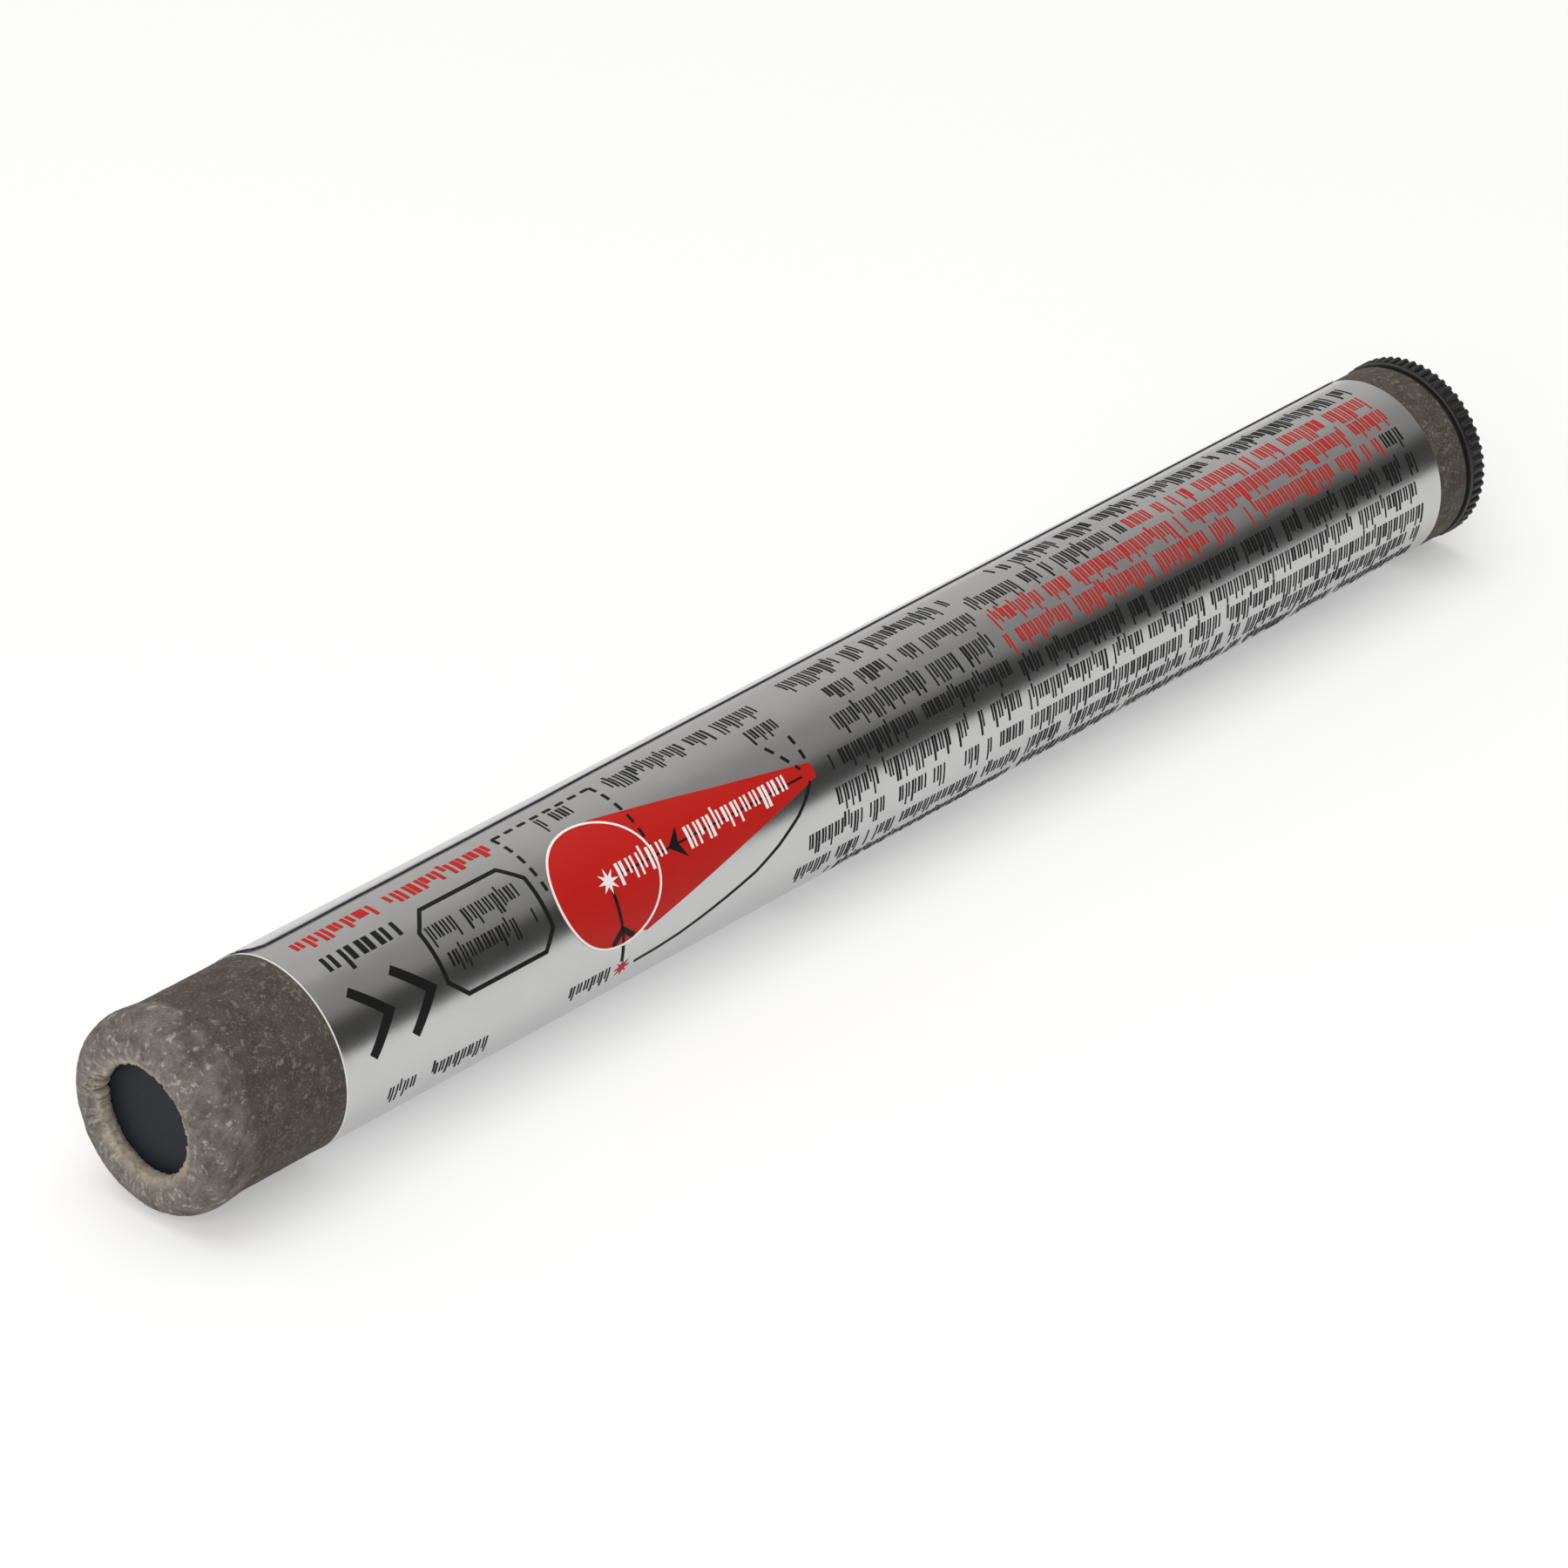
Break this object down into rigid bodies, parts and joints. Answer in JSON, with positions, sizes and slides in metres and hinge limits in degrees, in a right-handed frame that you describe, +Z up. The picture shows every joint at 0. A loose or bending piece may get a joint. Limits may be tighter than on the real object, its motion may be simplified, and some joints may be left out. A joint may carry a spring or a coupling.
{
  "type": "signal flare star pack",
  "caption": "Curled cardboard tube with a foil label and a knurled push-in stopper, holding a row of short signal flare stars that slide out of its mouth.",
  "frame": {"origin": "middle of the tube's length, on the surface it lies on", "axes": "+X along the tube from the curled end to the stopper, +Z up, +Y away from the printed front"},
  "size_m": [0.1806, 0.0198, 0.0198],
  "materials": {
    "tube_card": "matte",
    "end_card": "matte",
    "label_foil": "satin",
    "stopper_plastic": "satin",
    "star_paper": "matte",
    "star_base_plastic": "matte",
    "star_charge": "matte",
    "star_front_paper": "matte"
  },
  "bodies": {
    "tube": {"cardboard_tube": "tube_card", "end_disc": "end_card", "foil_label": "label_foil"},
    "stopper": {"stopper": "stopper_plastic"},
    "star_01": {"star_01_case": "star_paper", "star_01_base": "star_base_plastic", "star_01_pellet": "star_charge", "star_01_front_disc": "star_front_paper"},
    "star_02": {"star_02_case": "star_paper", "star_02_base": "star_base_plastic", "star_02_pellet": "star_charge", "star_02_front_disc": "star_front_paper"},
    "star_03": {"star_03_case": "star_paper", "star_03_base": "star_base_plastic", "star_03_pellet": "star_charge", "star_03_front_disc": "star_front_paper"},
    "star_04": {"star_04_case": "star_paper", "star_04_base": "star_base_plastic", "star_04_pellet": "star_charge", "star_04_front_disc": "star_front_paper"},
    "star_05": {"star_05_case": "star_paper", "star_05_base": "star_base_plastic", "star_05_pellet": "star_charge", "star_05_front_disc": "star_front_paper"},
    "star_06": {"star_06_case": "star_paper", "star_06_base": "star_base_plastic", "star_06_pellet": "star_charge", "star_06_front_disc": "star_front_paper"},
    "star_07": {"star_07_case": "star_paper", "star_07_base": "star_base_plastic", "star_07_pellet": "star_charge", "star_07_front_disc": "star_front_paper"},
    "star_08": {"star_08_case": "star_paper", "star_08_base": "star_base_plastic", "star_08_pellet": "star_charge", "star_08_front_disc": "star_front_paper"},
    "star_09": {"star_09_case": "star_paper", "star_09_base": "star_base_plastic", "star_09_pellet": "star_charge", "star_09_front_disc": "star_front_paper"},
    "star_10": {"star_10_case": "star_paper", "star_10_base": "star_base_plastic", "star_10_pellet": "star_charge", "star_10_front_disc": "star_front_paper"}
  },
  "joints": [
    {"name": "stopper_pull", "type": "slide", "parent": "tube", "child": "stopper", "axis": [1, 0, 0], "range_m": [0, 0.208]},
    {"name": "star_01_out", "type": "slide", "parent": "tube", "child": "star_01", "axis": [1, 0, 0], "range_m": [0, 0.1798]},
    {"name": "star_02_out", "type": "slide", "parent": "tube", "child": "star_02", "axis": [1, 0, 0], "range_m": [0, 0.1826]},
    {"name": "star_03_out", "type": "slide", "parent": "tube", "child": "star_03", "axis": [1, 0, 0], "range_m": [0, 0.1854]},
    {"name": "star_04_out", "type": "slide", "parent": "tube", "child": "star_04", "axis": [1, 0, 0], "range_m": [0, 0.1882]},
    {"name": "star_05_out", "type": "slide", "parent": "tube", "child": "star_05", "axis": [1, 0, 0], "range_m": [0, 0.191]},
    {"name": "star_06_out", "type": "slide", "parent": "tube", "child": "star_06", "axis": [1, 0, 0], "range_m": [0, 0.1938]},
    {"name": "star_07_out", "type": "slide", "parent": "tube", "child": "star_07", "axis": [1, 0, 0], "range_m": [0, 0.1966]},
    {"name": "star_08_out", "type": "slide", "parent": "tube", "child": "star_08", "axis": [1, 0, 0], "range_m": [0, 0.1994]},
    {"name": "star_09_out", "type": "slide", "parent": "tube", "child": "star_09", "axis": [1, 0, 0], "range_m": [0, 0.2022]},
    {"name": "star_10_out", "type": "slide", "parent": "tube", "child": "star_10", "axis": [1, 0, 0], "range_m": [0, 0.205]}
  ],
  "couplings": [
    {"joint": "star_01_out", "follows": "stopper_pull", "ratio": 0.862},
    {"joint": "star_02_out", "follows": "stopper_pull", "ratio": 0.8755},
    {"joint": "star_03_out", "follows": "stopper_pull", "ratio": 0.8889},
    {"joint": "star_04_out", "follows": "stopper_pull", "ratio": 0.9024},
    {"joint": "star_05_out", "follows": "stopper_pull", "ratio": 0.9159},
    {"joint": "star_06_out", "follows": "stopper_pull", "ratio": 0.9293},
    {"joint": "star_07_out", "follows": "stopper_pull", "ratio": 0.9428},
    {"joint": "star_08_out", "follows": "stopper_pull", "ratio": 0.9562},
    {"joint": "star_09_out", "follows": "stopper_pull", "ratio": 0.9697},
    {"joint": "star_10_out", "follows": "stopper_pull", "ratio": 0.9832}
  ]
}
